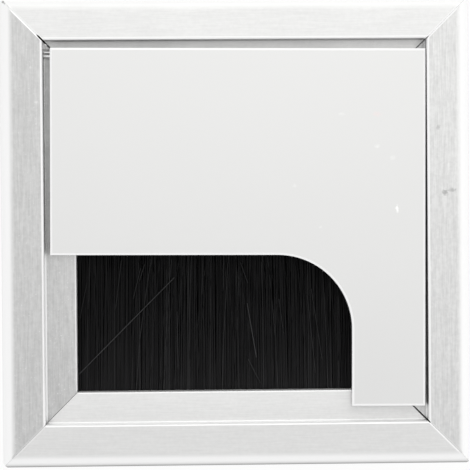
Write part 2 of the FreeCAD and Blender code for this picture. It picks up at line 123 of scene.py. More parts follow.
class GrommetMetal(bpy.types.PropertyGroup):
    """Finishes of the metal pieces, in rows of four for the front, right, back and left rails."""

    rail_colour: colour("Rail colour", "Anodised frame rails", grey(0.741))
    # Painted light and shade: each rail's tone stands in for how the light falls on that side of the frame.
    rail_tones: factors(
        "Rail tones", "Tone of the front, right, back and left rails beside the rail colour",
        (0.967, 0.956, 1.046, 0.809), 1.2,
    )
    # Painted light and shade: each ledge's tone beside its rail stands in for how the light falls there.
    ledge_tones: factors(
        "Ledge tones", "Tone of the four sheltered ledges beside their rails", (1.09, 1.0, 0.97, 0.99), 1.2
    )
    # Painted highlight: the bright colour of the rails' edges, lips and mitres, the cover's edge and the struck
    # ridges, also the base of the noses' painted feet.
    rubbed_colour: colour("Rubbed colour", "Rounded edges of the rails, rubbed bright", grey(0.95))
    # Painted shade on the lips' walls, darkest on the back lip.
    lip_tones: factors(
        "Lip tones", "Tone of the four lips' walls beside the rubbed colour", (1.0, 1.0, 0.7, 1.0), 1.2
    )
    lip_place: length("Lip place", "Distance from the middle to the crowns of the lips' roundings", 32.87)
    # Painted highlight: a bright strip beside each lip's crown.
    lip_wear: lengths(
        "Lip wear", "How far from the crowns of the four lips the rails are rubbed bright", (0.0, 0.07, 0.13, 0.07)
    )
    # Painted light and shade on the rails' noses.
    edge_tones: factors(
        "Edge tones", "Tone of the four rails' rubbed noses beside the rubbed colour", (0.965, 1.05, 0.82, 0.99), 1.2
    )
    # Painted highlight and shade on the broken mitre edges.
    mitre_tones: factors(
        "Mitre tones", "Tone of the broken edges at the low and high ends of the four rails",
        (0.88, 1.05, 0.79, 0.93, 1.05, 1.05, 0.69, 1.05), 1.2,
    )
    # Painted shade on the noses' feet, darkest at the front and lighter at the back.
    foot_tones: factors(
        "Foot tones", "Tone of the four noses' feet beside the rubbed colour", (0.05, 0.80, 1.05, 0.80), 1.2
    )
    foot_heights: lengths("Foot heights", "How far up the four noses their feet reach", (2.6, 1.9, 3.6, 1.9))
    foot_fade: length("Foot fade", "Height over which the tone of a nose's foot fades", 1.8)
    fleck_shares: factors(
        "Fleck shares", "How bright the flecks on the four rails are", (0.05, 0.12, 0.05, 0.4), 1.0
    )
    stake_reach: lengths(
        "Stake reach", "How far left of the middle the ledge's tool marks start and end", (32.55, 31.38)
    )
    # Painted shade: the colour that darkens corners and narrow gaps.
    dirt_colour: colour("Dirt colour", "Dull film in corners and narrow gaps", grey(0.14))
    rail_roughness: share("Rail roughness", "How dull the rails are", 0.42)
    rail_grain: share("Rail grain", "How far the drawn grain spreads a highlight across the rail", 0.6)
    streak_length: length("Streak length", "Length of a drawing streak on a rail", 4.0)
    streak_width: length("Streak width", "Width of a drawing streak on a rail", 0.24)
    cover_colour: colour("Cover colour", "Satin cover plate", grey(0.757))
    cover_roughness: share("Cover roughness", "How dull the cover plate is", 0.46)
    plating_colour: colour("Plating colour", "Zinc plating on the corner brackets", (0.60, 0.62, 0.65))
    screw_colour: colour("Screw colour", "Blackened set screws", (0.050, 0.050, 0.055))
    strip_colour: colour("Strip colour", "Galvanised brush channel and core wire", (0.55, 0.57, 0.59))


class GrommetBrush(bpy.types.PropertyGroup):
    """Sizes and colours of the brush."""

    filament_diameter: length("Filament diameter", "Diameter of one bristle", 0.21)
    filament_pitch: length("Filament pitch", "Room that one bristle takes along the strip", 0.2)
    folds: IntProperty(name="Folds", description="Layers of bristle folded round the core wire", default=5, min=1)
    tip_scatter: length("Tip scatter", "How unevenly the bristle tips end", 0.8)
    gather: length("Gather", "How far the outermost bristles lean to the middle at their tips", 1.0)
    sway: length("Sway", "How far a bristle leans to one side at random", 0.45)
    wild_share: share("Wild share", "Share of bristles that lean much further", 0.12)
    seed: IntProperty(name="Seed", description="Start of the random draws", default=11)
    # Painted shade: the step from the root colour to the darker tip colour.
    root_colour: colour("Root colour", "Black bristles at the strip", (0.0192, 0.0190, 0.0200))
    tip_colour: colour("Tip colour", "Black bristles at their tips", (0.0054, 0.0054, 0.0058))
    bristle_tones: factors(
        "Bristle tones", "Tones of dark, plain, pale and bare bristles beside the bristle colours",
        (0.88, 0.95, 1.36, 2.6), 10.0,
    )
    bristle_sheens: factors(
        "Bristle sheens", "Sheen of dark, plain, pale and bare bristles", (0.11, 0.13, 0.24, 0.42), 1.0
    )
    dark_share: share("Dark share", "Share of bristles that are darker", 0.45)
    pale_share: share("Pale share", "Share of bristles that are rubbed paler", 0.10)


class GrommetStage(bpy.types.PropertyGroup):
    """Floor, light and camera."""

    floor_colour: colour("Floor colour", "Plain pale floor", grey(0.92))
    floor_size: length("Floor size", "Side of the floor", 4000.0)
    floor_lift: share("Floor lift", "How much of the seen floor is plain white", 0.92)
    mirror_lift: share("Mirror lift", "How much of the floor in the metal's reflections is plain white", 0.8)
    tent_side: FloatProperty(name="Tent side", description="Brightness of the tent near the floor", default=1.03)
    tent_top: FloatProperty(name="Tent top", description="Brightness of the tent overhead", default=0.70)
    softbox_size: FloatVectorProperty(
        name="Softbox size", description="Width and length of the overhead softbox",
        default=(0.7, 1.2), size=2, unit="LENGTH",
    )
    softbox_place: FloatVectorProperty(
        name="Softbox place", description="Middle of the overhead softbox",
        default=(0.10, 0.55, 0.8), size=3, subtype="TRANSLATION", unit="LENGTH",
    )
    softbox_radiance: FloatProperty(
        name="Softbox radiance", description="Brightness of the softbox's face", default=0.68
    )
    softbox_tint: colour("Softbox tint", "Slight warmth of the softbox", (1.0, 1.0, 0.96))
    camera_place: FloatVectorProperty(
        name="Camera place", description="Where the camera stands",
        default=(-0.008798, 0.003988, 0.319441), size=3, subtype="TRANSLATION", unit="LENGTH", precision=6,
    )
    camera_turn: FloatVectorProperty(
        name="Camera turn", description="Tilt of the camera from straight down",
        default=tuple(math.radians(a) for a in (-0.8207, -1.5566, -0.4484)), size=3, subtype="EULER",
    )
    camera_lens: FloatProperty(name="Camera lens", description="Focal length", default=142.9, unit="CAMERA")


# Node helpers


def place(tree, kind, values=None, **settings):
    """Adds a node, sets its options and the values of its named or numbered inputs."""
    node = tree.nodes.new(kind)
    for option, setting in settings.items():
        setattr(node, option, setting)
    for socket, value in (values or {}).items():
        node.inputs[socket].default_value = value
    return node


def plug(tree, socket, source):
    """Links an output to an input, or sets the input to a plain value."""
    if isinstance(source, bpy.types.NodeSocket):
        tree.links.new(source, socket)
    else:
        socket.default_value = source


def calculate(tree, operation, *sources):
    """Adds a Math node behind outputs or numbers and gives its result."""
    node = place(tree, "ShaderNodeMath", operation=operation)
    for socket, source in zip(node.inputs, sources):
        plug(tree, socket, source)
    return node.outputs[0]


def remap(tree, source, low, high, to_low=0.0, to_high=1.0, way="LINEAR"):
    """Adds a clamped Map Range behind an output and gives its result."""
    node = place(tree, "ShaderNodeMapRange", interpolation_type=way)
    for number, value in enumerate((source, low, high, to_low, to_high)):
        plug(tree, node.inputs[number], value)
    return node.outputs[0]


def split(tree, vector):
    """Splits a vector output and gives its three outputs by name."""
    node = place(tree, "ShaderNodeSeparateXYZ")
    tree.links.new(vector, node.inputs[0])
    return node.outputs


def mix_colours(tree, factor, first, second, blend="MIX"):
    """Mixes two colours, given as outputs or values, by a factor."""
    node = place(tree, "ShaderNodeMix", data_type="RGBA", blend_type=blend)
    plug(tree, node.inputs["Factor"], factor)
    for socket, source in ((node.inputs[6], first), (node.inputs[7], second)):
        plug(tree, socket, (*source, 1.0) if isinstance(source, tuple) else source)
    return node.outputs[2]


def shade(colour_value, amount):
    """A colour made darker or lighter by a factor."""
    return tuple(min(1.0, part * amount) for part in colour_value)


# Effects that several finishes share, each a node group with a mask as its output


def shared(effect):
    """Makes an effect's node group at its first use and finds it after that."""
    title = effect.__name__.replace("_", " ").capitalize()

    @functools.wraps(effect)
    def find():
        return bpy.data.node_groups.get(title) or effect(title)

    return find


def new_effect(name, inputs, output):
    """Starts a shader node group with a Position input, its own inputs and one float output."""
    tree = bpy.data.node_groups.new(name, "ShaderNodeTree")
    tree.interface.new_socket("Position", in_out="INPUT", socket_type="NodeSocketVector")
    for socket, default in inputs.items():
        kind = "NodeSocketVector" if isinstance(default, tuple) else "NodeSocketFloat"
        made = tree.interface.new_socket(socket, in_out="INPUT", socket_type=kind)
        made.default_value = default
    tree.interface.new_socket(output, in_out="OUTPUT", socket_type="NodeSocketFloat")
    return tree, tree.nodes.new("NodeGroupInput").outputs, tree.nodes.new("NodeGroupOutput").inputs


def cell_noise(tree, given, size, **values):
    """Noise in cells of the size that a group's input gives."""
    cells = place(tree, "ShaderNodeVectorMath", operation="DIVIDE")
    noise = place(tree, "ShaderNodeTexNoise", {"Scale": 1.0, **values})
    tree.links.new(given["Position"], cells.inputs[0])
    tree.links.new(given[size], cells.inputs[1])
    tree.links.new(cells.outputs[0], noise.inputs["Vector"])
    return noise.outputs[0]


@shared
def drawn_streaks(name):
    """Streaks left by drawing or rolling: noise stretched to the size of a cell."""
    tree, given, made = new_effect(name, {"Cell": (5.0, 0.25, 0.25)}, "Streak")
    noise = cell_noise(tree, given, "Cell", Detail=2.5, Roughness=0.6)
    tree.links.new(remap(tree, noise, 0.3, 0.7), made["Streak"])
    return tree


@shared
def scattered_flecks(name):
    """Small bright or dark flecks where fine noise rises above a limit."""
    tree, given, made = new_effect(name, {"Size": 0.3, "Limit": 0.62}, "Fleck")
    noise = cell_noise(tree, given, "Size", Detail=1.0)
    tree.links.new(remap(tree, noise, given["Limit"], 0.75), made["Fleck"])
    return tree


@shared
def handling_smudges(name):
    """Soft patches where hands and cloths have dulled a surface."""
    tree, given, made = new_effect(name, {"Size": 14.0}, "Smudge")
    noise = cell_noise(tree, given, "Size", Detail=3.0, Distortion=0.4)
    tree.links.new(remap(tree, noise, 0.35, 0.65), made["Smudge"])
    return tree


@shared
def settled_grime(name):
    """Painted shade in corners and narrow gaps, where little open space lies within reach."""
    tree, given, made = new_effect(name, {"Reach": 2.0 * MM, "Size": 1.5}, "Grime")
    open_space = place(tree, "ShaderNodeAmbientOcclusion", samples=8)
    tree.links.new(given["Reach"], open_space.inputs["Distance"])
    closed = remap(tree, open_space.outputs["AO"], 0.12, 0.52, 1.0, 0.0)
    patches = remap(tree, cell_noise(tree, given, "Size", Detail=2.0), 0.3, 0.7, 0.85, 1.0)
    tree.links.new(calculate(tree, "MULTIPLY", closed, patches), made["Grime"])
    return tree


@shared
def placed_mark(name):
    """One uneven spot round a given centre."""
    tree, given, made = new_effect(name, {"Centre": (0.0, 0.0, 0.0), "Reach": (1.0, 1.0, 1.0)}, "Mark")
    away = place(tree, "ShaderNodeVectorMath", operation="SUBTRACT")
    spans = place(tree, "ShaderNodeVectorMath", operation="DIVIDE")
    far = place(tree, "ShaderNodeVectorMath", operation="LENGTH")
    noise = place(tree, "ShaderNodeTexNoise", {"Scale": 3.0, "Detail": 2.0})
    tree.links.new(given["Position"], away.inputs[0])
    tree.links.new(given["Centre"], away.inputs[1])
    tree.links.new(away.outputs[0], spans.inputs[0])
    tree.links.new(given["Reach"], spans.inputs[1])
    tree.links.new(spans.outputs[0], far.inputs[0])
    tree.links.new(given["Position"], noise.inputs["Vector"])
    frayed = remap(tree, noise.outputs[0], 0.3, 0.7, -0.4, 0.4)
    uneven = calculate(tree, "ADD", far.outputs["Value"], frayed)
    tree.links.new(remap(tree, uneven, 0.4, 1.1, 1.0, 0.0), made["Mark"])
    return tree


@shared
def rubbed_edges(name):
    """Painted highlight on edges above a level that turn away from the flat faces."""
    tree, given, made = new_effect(name, {"Level": 0.0}, "Highlight")
    surface = place(tree, "ShaderNodeNewGeometry")
    sideways = place(tree, "ShaderNodeVectorMath", {1: (1.0, 1.0, 0.0)}, operation="MULTIPLY")
    slope = place(tree, "ShaderNodeVectorMath", operation="LENGTH")
    tree.links.new(surface.outputs["Normal"], sideways.inputs[0])
    tree.links.new(sideways.outputs[0], slope.inputs[0])
    over = calculate(tree, "SUBTRACT", split(tree, given["Position"])["Z"], given["Level"])
    turned = remap(tree, slope.outputs["Value"], 0.01, 0.38)
    raised = remap(tree, over, -0.1, 0.1)
    tree.links.new(calculate(tree, "MULTIPLY", turned, raised), made["Highlight"])
    return tree


# Finishes

QUARTER_TURN = 0.25


class Finish:
    """A new material with its Principled shader and the position on the object in millimetres."""

    def __init__(self, name, **plain):
        self.material = bpy.data.materials.new(name)
        self.material.use_nodes = True
        self.tree = self.material.node_tree
        self.shader = self.tree.nodes["Principled BSDF"]
        where = place(self.tree, "ShaderNodeTexCoord")
        scale = place(self.tree, "ShaderNodeVectorMath", {"Scale": 1.0 / MM}, operation="SCALE")
        self.tree.links.new(where.outputs["Object"], scale.inputs[0])
        self.position = scale.outputs[0]
        for socket, value in plain.items():
            self.set(socket.replace("_", " "), value)

    def set(self, socket, value):
        """Sets a plain number or colour on the shader's own socket."""
        self.shader.inputs[socket].default_value = value

    def feed(self, socket, source):
        """Links an output to one of the shader's inputs."""
        self.tree.links.new(source, self.shader.inputs[socket])

    def effect(self, group, **values):
        """Places a shared effect with its own values and gives its mask."""
        node = place(self.tree, "ShaderNodeGroup", values, node_tree=group)
        self.tree.links.new(self.position, node.inputs["Position"])
        return node.outputs[0]

    def blend(self, mask, base, low, high):
        """Mixes two tones of a colour by a mask."""
        return mix_colours(self.tree, mask, shade(base, low), shade(base, high))

    def roughen(self, mask, low, high):
        """Lets the roughness change between two values with a mask."""
        self.feed("Roughness", remap(self.tree, mask, 0.0, 1.0, low, high))

    def spot(self, base, marks, height):
        """Lays marks, each a place, a reach and a colour, over a base colour at a height in millimetres."""
        for (x, y), (across, along), tone in marks:
            mark = self.effect(placed_mark(), Centre=(x, y, height), Reach=(across, along, 1.0))
            base = mix_colours(self.tree, mark, base, tone)
        return base

    def relief(self, height, strength, depth):
        """Gives the shader a bump of that depth in millimetres."""
        bump = place(self.tree, "ShaderNodeBump", {"Strength": strength, "Distance": depth * MM})
        self.tree.links.new(height, bump.inputs["Height"])
        self.feed("Normal", bump.outputs[0])

    def grain(self, amount, along):
        """Spreads highlights across a grain that is drawn along an axis."""
        self.set("Anisotropic", amount)
        self.set("Anisotropic Rotation", QUARTER_TURN)
        axis = place(self.tree, "ShaderNodeCombineXYZ", {"xyz".index(along): 1.0})
        self.feed("Tangent", axis.outputs[0])


# Small marks of use: where each lies, how far it reaches and its colour, in millimetres
COVER_MARKS = (
    ((27.39, 3.64), (0.32, 0.62), grey(1.0)),
    ((24.1, 19.75), (0.95, 0.5), (0.79, 0.75, 0.75)),
    ((26.7, 12.3), (0.5, 0.5), grey(0.803)),
    ((24.15, 14.3), (0.45, 0.3), grey(0.84)),
    ((18.1, 19.8), (0.6, 0.3), grey(0.803)),
    ((10.0, 7.7), (0.35, 0.35), grey(0.803)),
    ((14.3, 0.6), (0.3, 0.3), grey(0.803)),
)
RAIL_MARKS = {
    "right": (
        ((35.6, 6.4), (0.6, 0.55), grey(0.45)),
        ((36.8, 6.75), (0.8, 0.35), grey(0.50)),
        ((34.45, 17.45), (0.4, 0.5), grey(0.55)),
    ),
    "left": (
        ((-33.7, 22.1), (0.3, 0.25), grey(0.74)),
        ((-34.6, 28.0), (0.25, 0.25), grey(0.70)),
    ),
}
# Dirt at the outer end of the back left mitre, on both of its rails
CORNER_MARKS = (
    ((-39.2, 39.1), (0.23, 0.23), grey(0.45)),
    ((-38.92, 38.82), (0.2, 0.2), grey(0.52)),
)
# Painted shadows in the troughs beside the tool marks on the left ledge
STAKE_SHADOWS = (
    ((-31.95, 31.1), (0.9, 0.22), grey(0.22)),
    ((-31.95, 30.47), (0.9, 0.24), grey(0.10)),
    ((-31.95, 29.68), (0.9, 0.36), grey(0.30)),
)

# Where a rail's painted highlights and shade start and end, in millimetres in from its outer side
NOSE_ZONE = (2.0, 1.5)
LIP_ZONE = (4.5, 4.0)
# Where a rail's painted light and shade start and end, and where its corner dirt lies, in millimetres under its top
LEDGE_ZONE = (2.0, 1.0)
STRIP_ZONE = (0.3, 0.2)
CORNER_DROP = 0.7
# Other distances on a rail, in millimetres: where the flecks and the painted shade of the foot fade at the desk,
# where the painted highlight beside the lip ends, and how far the painted light reaches beside a mitre's seam
DESK_FADE = 0.2
LIP_FADE = 0.1
MITRE_ZONE = (0.40, 0.45)
# How strongly the drawing streaks change a rail's tone, by the axis along it
STREAK_DEPTHS = {"x": 0.034, "y": 0.085}
# How strongly specks darken and lighten it beside the streaks
SPECKLE = (0.6, 0.4)
# How far down the cover's edge is painted bright as a highlight, in millimetres
COVER_HIGHLIGHT_DEPTH = 0.3


class RailFinish(Finish):
    """Anodised aluminium on one rail, with the distances that its painted light and shade and its flecks follow in
    millimetres.
    """

    def __init__(self, side, metal, number):
        super().__init__(f"Anodised {side} rail", Metallic=0.72)
        self.metal, self.number = metal, number
        self.axis = RAILS[side]
        self.top, self.half = CAD_BOX[1].z / MM, CAD_BOX[1].x / MM
        axes = split(self.tree, self.position)
        along, across = ("X", "Y") if self.axis == "x" else ("Y", "X")
        self.height, self.along = axes["Z"], axes[along]
        self.out = calculate(self.tree, "ABSOLUTE", axes[across])
        self.over_desk = remap(self.tree, self.height, -DESK_FADE, 0.0)
        self.nose = self.inward(NOSE_ZONE)

    def inward(self, zone):
        """Mask that starts and ends at distances in from the rail's outer side."""
        return remap(self.tree, self.out, self.half - zone[0], self.half - zone[1])

    def under_top(self, zone, *results):
        """Mask that starts and ends at distances under the rail's top."""
        return remap(self.tree, self.height, self.top - zone[0], self.top - zone[1], *results)

    def both(self, first, second):
        """Where two masks meet."""
        return calculate(self.tree, "MULTIPLY", first, second)

    def streaks(self):
        """Mask of the drawing streaks along the rail."""
        long_cell, fine_cell = self.metal.streak_length / MM, self.metal.streak_width / MM
        cell = (long_cell, fine_cell, fine_cell) if self.axis == "x" else (fine_cell, long_cell, fine_cell)
        return self.effect(drawn_streaks(), Cell=cell)

    def faces(self, streak):
        """Streaked and speckled colour of the flange and the ledge, each in its painted light and shade tone."""
        depth, tone = STREAK_DEPTHS[self.axis], self.metal.rail_tones[self.number]
        faces = [
            self.blend(streak, self.metal.rail_colour, level * (1.0 - depth), level * (1.0 + depth))
            for level in (tone, tone * self.metal.ledge_tones[self.number])
        ]
        plain = mix_colours(self.tree, self.under_top(LEDGE_ZONE, 1.0, 0.0), *faces)
        speckle = self.effect(handling_smudges(), Size=0.7)
        rough = remap(self.tree, speckle, 0.0, 1.0, 1.0 - depth * SPECKLE[0], 1.0 + depth * SPECKLE[1])
        return mix_colours(self.tree, 1.0, plain, rough, "MULTIPLY")

    def edges(self):
        """Painted highlight colour of the lip and the nose, each in its painted light and shade tone."""
        tones = self.metal.lip_tones[self.number], self.metal.edge_tones[self.number]
        return self.blend(self.inward(LIP_ZONE), self.metal.rubbed_colour, *tones)

    def flecked(self, base, bright):
        """Bright flecks over a base colour, above the desk."""
        flecks = self.effect(scattered_flecks(), Size=0.3, Limit=0.68)
        amount = remap(self.tree, flecks, 0.0, 1.0, 0.0, self.metal.fleck_shares[self.number])
        return mix_colours(self.tree, self.both(amount, self.over_desk), base, bright)

    def mitred(self, bright):
        """Painted highlight and shade on the broken edges along the mitres, up to the nose."""
        tree = self.tree
        beside = calculate(tree, "SUBTRACT", self.out, calculate(tree, "ABSOLUTE", self.along))
        behind_nose = remap(tree, self.nose, 0.0, 1.0, 1.0, 0.0)
        mitre = self.both(remap(tree, beside, *MITRE_ZONE, 1.0, 0.0), behind_nose)
        tones = self.metal.mitre_tones[2 * self.number:2 * self.number + 2]
        broken = self.blend(remap(tree, self.along, -1.0, 1.0), self.metal.rubbed_colour, *tones)
        return mix_colours(tree, mitre, bright, broken)

    def worn_lip(self, base):
        """Painted highlight: a strip beside the lip's crown painted bright."""
        wear = (self.metal.lip_place + self.metal.lip_wear[self.number]) / MM
        beside = remap(self.tree, self.out, wear, wear + LIP_FADE, 1.0, 0.0)
        strip = self.both(beside, self.under_top(STRIP_ZONE))
        return mix_colours(self.tree, strip, base, tuple(self.metal.rubbed_colour))

    def toned_foot(self, base):
        """Painted shade on the foot of the nose, which fades upwards."""
        reach, fade = self.metal.foot_heights[self.number] / MM, self.metal.foot_fade / MM
        low = remap(self.tree, self.height, reach - fade, reach, 1.0, 0.0, "SMOOTHSTEP")
        foot = self.both(self.both(self.nose, low), self.over_desk)
        return mix_colours(self.tree, foot, base, shade(self.metal.rubbed_colour, self.metal.foot_tones[self.number]))


def anodised_rail(side, metal, number):
    """Drawn and anodised aluminium with its grain along the rail, its edges painted bright as highlights, and painted
    light and shade on its faces, lips, noses and in its recesses.
    """
    finish = RailFinish(side, metal, number)
    streak, bright = finish.streaks(), finish.edges()
    flat = finish.spot(finish.flecked(finish.faces(streak), bright), RAIL_MARKS.get(side, ()), finish.top)
    # Painted highlight on the rails' rounded edges and on the mitres' broken edges.
    highlighted = mix_colours(finish.tree, finish.effect(rubbed_edges()), flat, finish.mitred(bright))
    # Painted highlight beside the lip and painted shade on the nose's foot.
    dirt_and_painted_light = finish.toned_foot(finish.worn_lip(highlighted))
    if side in ("back", "left"):
        dirt_and_painted_light = finish.spot(dirt_and_painted_light, CORNER_MARKS, finish.top - CORNER_DROP)
    if side == "left":
        # Painted shadows beside the tool marks on the left ledge.
        dirt_and_painted_light = finish.spot(dirt_and_painted_light, STAKE_SHADOWS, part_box("cover_plate")[0].z / MM)
    # Painted shade in corners and narrow gaps.
    recess_shade = finish.effect(settled_grime())
    finish.feed("Base Color", mix_colours(finish.tree, recess_shade, dirt_and_painted_light, tuple(metal.dirt_colour)))
    smudge, dull = finish.effect(handling_smudges(), Size=9.0), metal.rail_roughness
    finish.roughen(smudge, dull * 0.95, dull * 1.06)
    finish.relief(streak, strength=0.25, depth=0.004)
    finish.grain(metal.rail_grain, finish.axis)
    return finish.material


def satin_cover(metal):
    """Finely blasted and anodised plate."""
    finish = Finish("Satin cover", Metallic=1.0)
    blast = finish.effect(scattered_flecks(), Size=0.12, Limit=0.4)
    smudge = finish.effect(handling_smudges(), Size=22.0)
    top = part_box("cover_plate")[1].z / MM
    # Painted highlight along the cover's top edge.
    rubbed = finish.effect(rubbed_edges(), Level=top - COVER_HIGHLIGHT_DEPTH)
    marked = finish.spot(finish.blend(smudge, metal.cover_colour, 0.992, 1.008), COVER_MARKS, top)
    finish.feed("Base Color", mix_colours(finish.tree, rubbed, marked, tuple(metal.rubbed_colour)))
    finish.roughen(smudge, metal.cover_roughness * 0.97, metal.cover_roughness * 1.03)
    finish.relief(blast, strength=0.1, depth=0.003)
    return finish.material


def struck_aluminium(metal):
    """Bare aluminium, bright where a tool has struck it, painted in the highlight colour."""
    finish = Finish("Struck aluminium", Metallic=1.0)
    streak = finish.effect(drawn_streaks(), Cell=(0.8, 0.1, 0.1))
    finish.feed("Base Color", finish.blend(streak, metal.rubbed_colour, 0.94, 1.04))
    finish.roughen(streak, 0.28, 0.4)
    finish.relief(streak, strength=0.2, depth=0.01)
    return finish.material


def zinc_plate(metal):
    """Bright zinc plating with faint passivated patches."""
    finish = Finish("Zinc plate", Metallic=1.0)
    smudge = finish.effect(handling_smudges(), Size=4.0)
    streak = finish.effect(drawn_streaks(), Cell=(2.5, 2.5, 0.2))
    red, green, blue = metal.plating_colour
    passivated = (red, green, blue * 0.92)
    finish.feed("Base Color", mix_colours(finish.tree, smudge, shade(metal.plating_colour, 0.93), passivated))
    finish.roughen(streak, 0.3, 0.42)
    finish.relief(streak, strength=0.2, depth=0.01)
    return finish.material


def blackened_screw(metal):
    """Oiled black oxide on small screws."""
    finish = Finish("Blackened screw", Metallic=0.8)
    fleck = finish.effect(scattered_flecks(), Size=0.2, Limit=0.6)
    finish.feed("Base Color", finish.blend(fleck, metal.screw_colour, 1.0, 3.0))
    finish.roughen(fleck, 0.42, 0.3)
    finish.relief(fleck, strength=0.2, depth=0.01)
    return finish.material


def galvanised_strip(metal):
    """Rolled galvanised steel with a faint spangle."""
    finish = Finish("Galvanised strip", Metallic=1.0)
    spangle = finish.effect(handling_smudges(), Size=1.8)
    streak = finish.effect(drawn_streaks(), Cell=(6.0, 0.3, 0.3))
    finish.feed("Base Color", finish.blend(spangle, metal.strip_colour, 0.88, 1.08))
    finish.roughen(spangle, 0.36, 0.5)
    finish.relief(streak, strength=0.2, depth=0.01)
    return finish.material


# How far from the brush's front end the bristles start and end to darken with painted shade, in millimetres
TIP_SHADE_ZONE = (6.2, 22.5)
# Tones of the dark locks, the single bristles and the pale locks
LOCK_TONES = (0.7, 1.0, 1.22)


def black_nylon(name, brush, tone, sheen):
    """Black filaments clumped in darker and paler locks, with painted shade that makes them paler near the strip than
    at their tips.
    """
    finish = Finish(name, Specular_IOR_Level=sheen)
    tree = finish.tree
    streak = finish.effect(drawn_streaks(), Cell=(0.3, 9.0, 0.3))
    lock = finish.effect(drawn_streaks(), Cell=(1.3, 14.0, 1.3))
    cloud = finish.effect(handling_smudges(), Size=7.0)
    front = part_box("brush_bristles")[0].y / MM
    # Painted shade: the bristles darken from the strip towards their tips.
    away = remap(tree, split(tree, finish.position)["Y"], *(front + distance for distance in TIP_SHADE_ZONE))
    darker = calculate(tree, "SQRT", away)
    dark, single, pale = (
        mix_colours(tree, darker, shade(brush.root_colour, tone * part), shade(brush.tip_colour, tone * part))
        for part in LOCK_TONES
    )
    finish.feed("Base Color", mix_colours(tree, streak, mix_colours(tree, lock, dark, pale), single))
    finish.roughen(cloud, 0.34, 0.48)
    finish.relief(streak, strength=0.12, depth=0.02)
    return finish.material


def dress(names, material):
    """Puts a material on the named nodes, in place of their own."""
    for name in names:
        slots = NODES[name].data.materials
        slots.clear()
        slots.append(material)


# Bristles

# Half the height of the bed of bristles where it leaves the strip
BED_HALF = 0.95 * MM
# Share of that height at which the innermost fold lies, and how unevenly the bristles lie in it
BED_CORE = 0.08
BED_SCATTER = 0.05 * MM
# How unevenly the bristles stand along the strip, as a share of their room
COLUMN_SCATTER = 0.25
# How much further the few wild bristles lean
WILD_LEAN = (1.0, 3.5)
# Steps of a bristle from its tip to the throat, how its lean grows, and its steps round the core wire in degrees
ARM_STEPS = (1.0, 0.66, 0.33, 0.0)
LEAN_GROWTH = 1.5
TURN_STEPS = (70, 125, 180, 235, 290)


class BrushStrip:
    """Where the strip holds its bristles, read from the frame, in metres."""

    def __init__(self):
        wire_low, wire_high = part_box("brush_core_wire")
        self.low, self.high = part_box("brush_bristles")
        self.wire = (wire_low + wire_high) / 2
        self.wire_radius = (wire_high.z - wire_low.z) / 2
        self.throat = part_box("brush_channel")[1].y
        self.fold_radius = self.wire.z - self.low.z
        self.tip = self.high.y


def new_strands(name, brush):
    """A curve object whose splines are round strands in the four tones of nylon."""
    data = bpy.data.curves.new(name, "CURVE")
    data.dimensions = "3D"
    data.bevel_depth = brush.filament_diameter / 2
    data.bevel_resolution = 0
    data.use_fill_caps = True
    for tone_name, tone, sheen in zip(TONES, brush.bristle_tones, brush.bristle_sheens):
        title = f"{tone_name.capitalize()} nylon"
        data.materials.append(bpy.data.materials.get(title) or black_nylon(title, brush, tone, sheen))
    strands = bpy.data.objects.new(name, data)
    bpy.context.scene.collection.objects.link(strands)
    return strands


def add_strand(strands, points, tone):
    """Adds one strand through the points, in the tone with that number."""
    spline = strands.data.splines.new("POLY")
    spline.points.add(len(points) - 1)
    spline.material_index = tone
    for target, point in zip(spline.points, points):
        target.co = (*point, 1.0)


def folded_bristle(strip, x, radius, off, leans, tips):
    """Points of one bristle: in along the top, round the core wire and out again below."""
    axis, span = strip.wire, strip.tip - strip.throat
    upper, lower = (
        [
            (x + lean * part**LEAN_GROWTH, strip.throat + (span - short) * part, axis.z + side * off)
            for part in ARM_STEPS
        ]
        for side, lean, short in zip((1.0, -1.0), leans, tips)
    )
    turn = [
        (x, axis.y + radius * math.cos(angle), axis.z + radius * math.sin(angle))
        for angle in (math.radians(step) for step in TURN_STEPS)
    ]
    return upper + turn + lower[::-1]


def lean_of(brush, draw, along):
    """How far a bristle leans at its tip: the outer ones to the middle, a few of them far."""
    lean = -brush.gather * along * draw.random() + draw.gauss(0.0, brush.sway)
    if draw.random() < brush.wild_share:
        lean -= math.copysign(draw.uniform(*WILD_LEAN) * MM, along)
    return lean


def make_bristles(brush):
    """Strip of bristles folded round the core wire."""
    strip, draw = BrushStrip(), random.Random(brush.seed)
    strands = new_strands("bristle_strands", brush)
    half = brush.filament_diameter / 2
    room = strip.fold_radius - strip.wire_radius - 2 * half
    width = strip.high.x - strip.low.x - 2 * half
    columns = int(width / brush.filament_pitch)
    shares = (brush.dark_share, 1.0 - brush.dark_share - brush.pale_share, brush.pale_share)
    for fold in range(brush.folds):
        depth = fold / max(1, brush.folds - 1)
        for column in range(columns):
            shift = draw.uniform(-COLUMN_SCATTER, COLUMN_SCATTER)
            share_along = (column + 0.5 * (fold % 2) + shift) / columns
            x = strip.low.x + half + width * min(1.0, max(0.0, share_along))
            leans = [lean_of(brush, draw, 2 * share_along - 1) for _ in range(2)]
            leans = [min(max(lean, strip.low.x + half - x), strip.high.x - half - x) for lean in leans]
            tips = [draw.random() ** 2 * brush.tip_scatter for _ in range(2)]
            off = BED_HALF * (BED_CORE + (1.0 - BED_CORE) * depth) + draw.uniform(-BED_SCATTER, BED_SCATTER)
            radius = strip.wire_radius + half + room * depth
            tone = draw.choices((0, 1, 2), shares)[0]
            add_strand(strands, folded_bristle(strip, x, radius, off, leans, tips), tone)
    return strands


